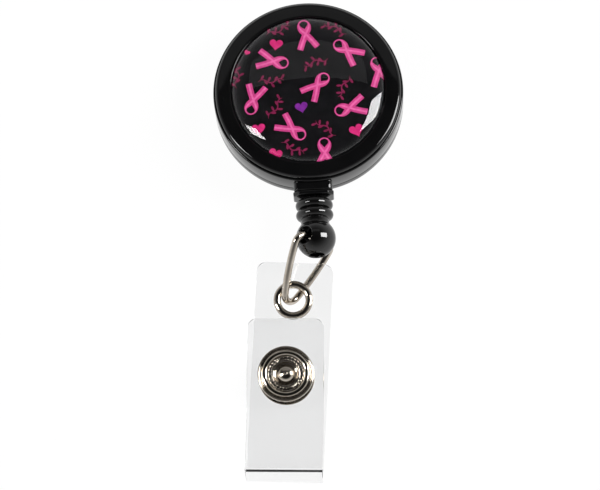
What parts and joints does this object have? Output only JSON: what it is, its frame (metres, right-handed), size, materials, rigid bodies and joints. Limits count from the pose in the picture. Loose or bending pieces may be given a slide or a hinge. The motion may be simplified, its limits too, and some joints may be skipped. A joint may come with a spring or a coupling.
{
  "type": "retractable badge reel",
  "caption": "Retractable badge reel: round casing with a domed printed face, spring-wound cord, ball end, wire loop, clear snap strap and slide belt clip.",
  "frame": {"origin": "on the reel's axis, at the flat outer face of the belt clip's leaf, which the reel lies on", "axes": "+Z out of the printed face; -Y the way the cord leaves; +X to the right with the face towards the viewer and the strap down"},
  "size_m": [0.0316, 0.0808, 0.0128],
  "materials": {
    "casing_black": "glossy moulded ABS",
    "label_print": "printed film",
    "dome_clear": "clear polyurethane dome",
    "ball_black": "glossy moulded nylon",
    "spool_white": "moulded acetal",
    "cord_black": "braided nylon cord",
    "spring_steel": "rolled spring steel",
    "clip_steel": "nickel-plated spring steel",
    "nickel": "warm bright nickel plate",
    "vinyl_clear": "clear flexible PVC"
  },
  "bodies": {
    "casing": {"front_shell": "casing_black", "back_shell": "casing_black", "label_disc": "label_print", "dome_lens": "dome_clear", "cord_guide": "casing_black", "belt_clip_plate": "clip_steel", "clip_rivet": "clip_steel", "power_spring": "spring_steel", "cord_lead": "cord_black"},
    "spool": {"spool": "spool_white", "cord_winding": "cord_black"},
    "cord_end": {"cord_knot": "cord_black"},
    "ball": {"ball_end": "ball_black"},
    "loop": {"wire_loop": "nickel"},
    "strap": {"strap_back_leaf": "vinyl_clear", "strap_fold": "vinyl_clear", "strap_eyelet": "nickel", "eyelet_washer": "nickel", "snap_socket": "nickel", "snap_spring": "spring_steel", "snap_cap": "nickel"},
    "front_leaf": {"strap_front_leaf": "vinyl_clear", "snap_front_ring": "nickel", "snap_stud": "nickel"},
    "clip_leaf": {"belt_clip_leaf": "clip_steel"}
  },
  "joints": [
    {"name": "cord_pull", "type": "slide", "parent": "casing", "child": "cord_end", "axis": [0, -1, 0], "range_m": [0, 0.86], "stiffness_N_per_m": 1.2, "springref_m": -0.42, "deforming": ["cord_lead"]},
    {"name": "spool_spin", "type": "hinge", "parent": "casing", "child": "spool", "pos_m": [0, 0, 0.0068], "axis": [0, 0, 1], "range_deg": [0, 5200], "deforming": ["power_spring"]},
    {"name": "ball_swivel", "type": "hinge", "parent": "cord_end", "child": "ball", "pos_m": [0, -0.0247, 0.0065], "axis": [0, 1, 0], "continuous": true},
    {"name": "loop_pivot", "type": "hinge", "parent": "ball", "child": "loop", "pos_m": [0, -0.0247, 0.0065], "axis": [0.6293, 0, -0.7771], "range_deg": [-60, 40]},
    {"name": "strap_swing", "type": "hinge", "parent": "loop", "child": "strap", "pos_m": [-0.0043, -0.03405, 0.00287], "axis": [-0.009, -0.0919, 0.9957], "range_deg": [-35, 35]},
    {"name": "strap_open", "type": "hinge", "parent": "strap", "child": "front_leaf", "pos_m": [-0.00718, -0.06359, 0.00553], "axis": [0.997, -0.0777, 0.0019], "range_deg": [0, 110], "deforming": ["strap_fold", "snap_spring"]},
    {"name": "clip_flex", "type": "hinge", "parent": "casing", "child": "clip_leaf", "pos_m": [0, 0.011, 0.00185], "axis": [1, 0, 0], "range_deg": [0, 6], "stiffness_Nm_per_rad": 0.03, "springref_deg": -5.73}
  ],
  "couplings": [
    {"joint": "spool_spin", "follows": "cord_pull", "rad_per_m": 103}
  ]
}
